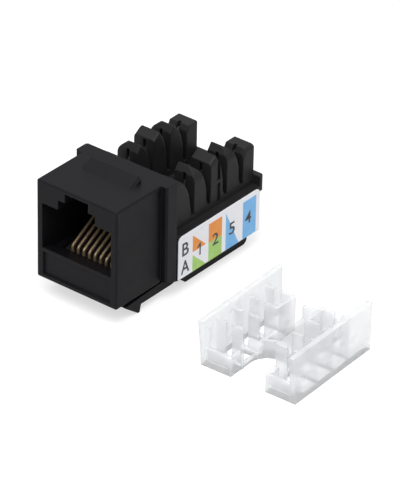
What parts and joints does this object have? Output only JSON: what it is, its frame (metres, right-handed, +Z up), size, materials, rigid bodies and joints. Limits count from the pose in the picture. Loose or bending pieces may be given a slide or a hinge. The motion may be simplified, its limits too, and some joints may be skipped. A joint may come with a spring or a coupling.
{
  "type": "keystone jack",
  "caption": "Snap-in modular data jack with a plug port, slotted punch-down posts, a printed wiring label and its loose wiring cap.",
  "frame": {"origin": "centre of the flat underside of the base cover, on the surface that the jack rests on", "axes": "+Z up, +Y from the plug port to the cable end, +X to the right seen from the plug port"},
  "size_m": [0.0462, 0.032, 0.0198],
  "materials": {
    "housing": "fine satin moulded surface",
    "carrier": "fine satin moulded surface",
    "contacts": "thin gold plating on round spring wire",
    "blades": "bright tin plating",
    "board": "solder mask over glass laminate",
    "label": "printed self-adhesive film",
    "cap": "clear to milky moulded surface"
  },
  "bodies": {
    "root": {"front_housing": "housing", "contact_carrier": "carrier", "circuit_board": "board", "idc_block": "housing", "base_cover": "housing", "wiring_label": "label", "terminal_cap": "cap", "contact_1": "contacts", "contact_2": "contacts", "contact_3": "contacts", "contact_4": "contacts", "contact_5": "contacts", "contact_6": "contacts", "contact_7": "contacts", "contact_8": "contacts", "idc_blade_1": "blades", "idc_blade_2": "blades", "idc_blade_3": "blades", "idc_blade_4": "blades", "idc_blade_5": "blades", "idc_blade_6": "blades", "idc_blade_7": "blades", "idc_blade_8": "blades"}
  },
  "joints": []
}
